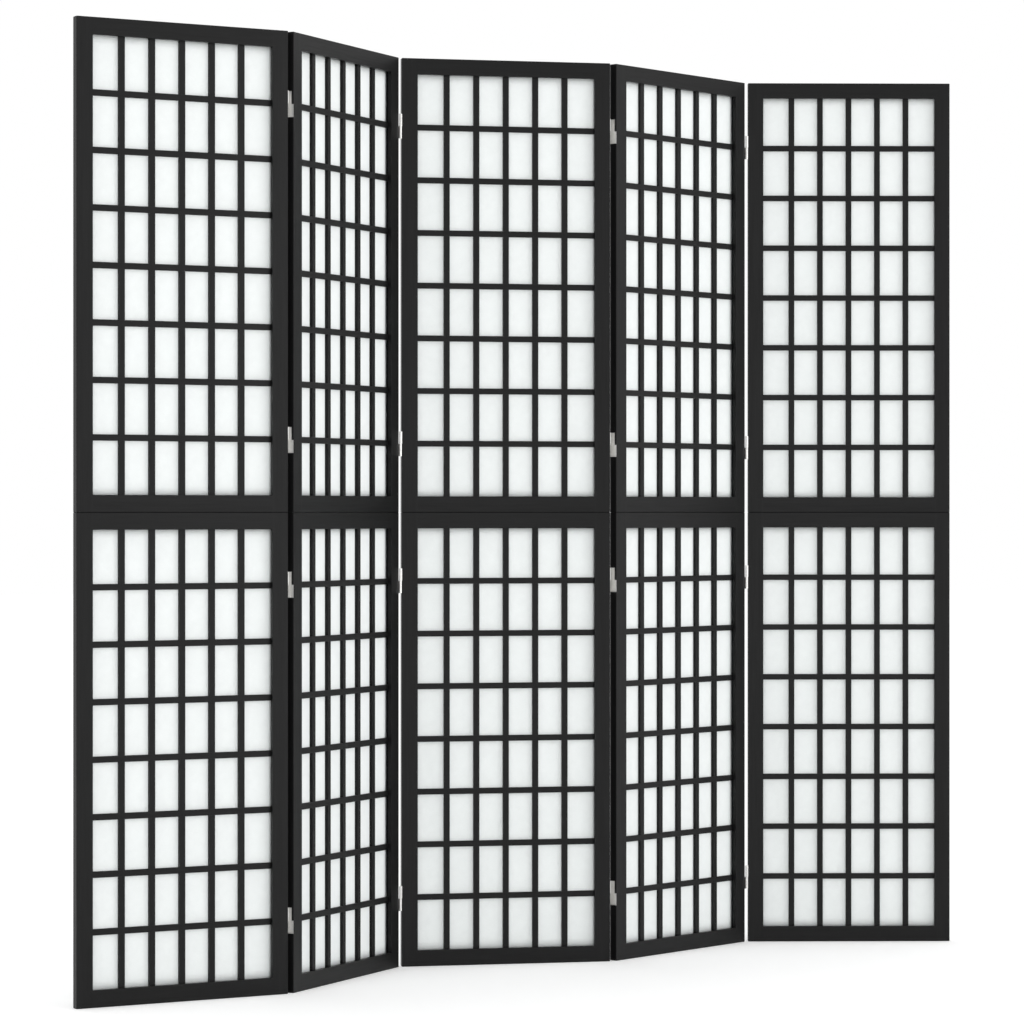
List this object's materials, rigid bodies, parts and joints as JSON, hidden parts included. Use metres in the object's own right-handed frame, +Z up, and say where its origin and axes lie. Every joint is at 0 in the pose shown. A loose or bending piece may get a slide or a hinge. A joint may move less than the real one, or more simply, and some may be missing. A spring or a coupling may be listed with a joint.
{
  "type": "folding screen",
  "caption": "Freestanding folding screen: black lattice panels backed with white translucent sheet, each frame in two stacked halves, hinged to fold flat in a zigzag.",
  "frame": {"origin": "on the floor under the middle of the third panel, half way through its thickness", "axes": "+X along the third panel to the viewer's right, +Y from its front to its back, +Z up"},
  "size_m": [1.7828, 0.7093, 1.7],
  "materials": {
    "frame_wood": "black satin stain, fine grain",
    "lattice_wood": "black satin stain",
    "sheet_fabric": "white non-woven translucent sheet",
    "hinge_steel": "zinc-plated satin steel",
    "tongue_wood": "bare softwood"
  },
  "bodies": {
    "panel_1": {"panel_1_upper_stiles": "frame_wood", "panel_1_upper_rails": "frame_wood", "panel_1_upper_lattice": "lattice_wood", "panel_1_upper_sheet": "sheet_fabric", "panel_1_lower_stiles": "frame_wood", "panel_1_lower_rails": "frame_wood", "panel_1_lower_lattice": "lattice_wood", "panel_1_lower_sheet": "sheet_fabric", "panel_1_tongues": "tongue_wood", "fold_1_2_left_leaves": "hinge_steel"},
    "panel_2": {"panel_2_upper_stiles": "frame_wood", "panel_2_upper_rails": "frame_wood", "panel_2_upper_lattice": "lattice_wood", "panel_2_upper_sheet": "sheet_fabric", "panel_2_lower_stiles": "frame_wood", "panel_2_lower_rails": "frame_wood", "panel_2_lower_lattice": "lattice_wood", "panel_2_lower_sheet": "sheet_fabric", "panel_2_tongues": "tongue_wood", "fold_1_2_right_leaves": "hinge_steel", "fold_1_2_pins": "hinge_steel", "fold_2_3_left_leaves": "hinge_steel", "fold_2_3_pins": "hinge_steel"},
    "panel_3": {"panel_3_upper_stiles": "frame_wood", "panel_3_upper_rails": "frame_wood", "panel_3_upper_lattice": "lattice_wood", "panel_3_upper_sheet": "sheet_fabric", "panel_3_lower_stiles": "frame_wood", "panel_3_lower_rails": "frame_wood", "panel_3_lower_lattice": "lattice_wood", "panel_3_lower_sheet": "sheet_fabric", "panel_3_tongues": "tongue_wood", "fold_2_3_right_leaves": "hinge_steel", "fold_3_4_left_leaves": "hinge_steel"},
    "panel_4": {"panel_4_upper_stiles": "frame_wood", "panel_4_upper_rails": "frame_wood", "panel_4_upper_lattice": "lattice_wood", "panel_4_upper_sheet": "sheet_fabric", "panel_4_lower_stiles": "frame_wood", "panel_4_lower_rails": "frame_wood", "panel_4_lower_lattice": "lattice_wood", "panel_4_lower_sheet": "sheet_fabric", "panel_4_tongues": "tongue_wood", "fold_3_4_right_leaves": "hinge_steel", "fold_3_4_pins": "hinge_steel", "fold_4_5_left_leaves": "hinge_steel", "fold_4_5_pins": "hinge_steel"},
    "panel_5": {"panel_5_upper_stiles": "frame_wood", "panel_5_upper_rails": "frame_wood", "panel_5_upper_lattice": "lattice_wood", "panel_5_upper_sheet": "sheet_fabric", "panel_5_lower_stiles": "frame_wood", "panel_5_lower_rails": "frame_wood", "panel_5_lower_lattice": "lattice_wood", "panel_5_lower_sheet": "sheet_fabric", "panel_5_tongues": "tongue_wood", "fold_4_5_right_leaves": "hinge_steel"}
  },
  "joints": [
    {"name": "fold_2_3", "type": "hinge", "parent": "panel_3", "child": "panel_2", "pos_m": [-0.203, -0.0101, 0.85], "axis": [0, 0, 1], "range_deg": [-52.4, 124.6]},
    {"name": "fold_1_2", "type": "hinge", "parent": "panel_2", "child": "panel_1", "pos_m": [-0.46563, -0.31802, 0.85], "axis": [0, 0, -1], "range_deg": [-35.1, 144.9]},
    {"name": "fold_3_4", "type": "hinge", "parent": "panel_3", "child": "panel_4", "pos_m": [0.2012, 0.0101, 0.85], "axis": [0, 0, 1], "range_deg": [-37.1, 139.9]},
    {"name": "fold_4_5", "type": "hinge", "parent": "panel_4", "child": "panel_5", "pos_m": [0.53577, 0.2378, 0.85], "axis": [0, 0, -1], "range_deg": [-47.8, 132.2]}
  ]
}
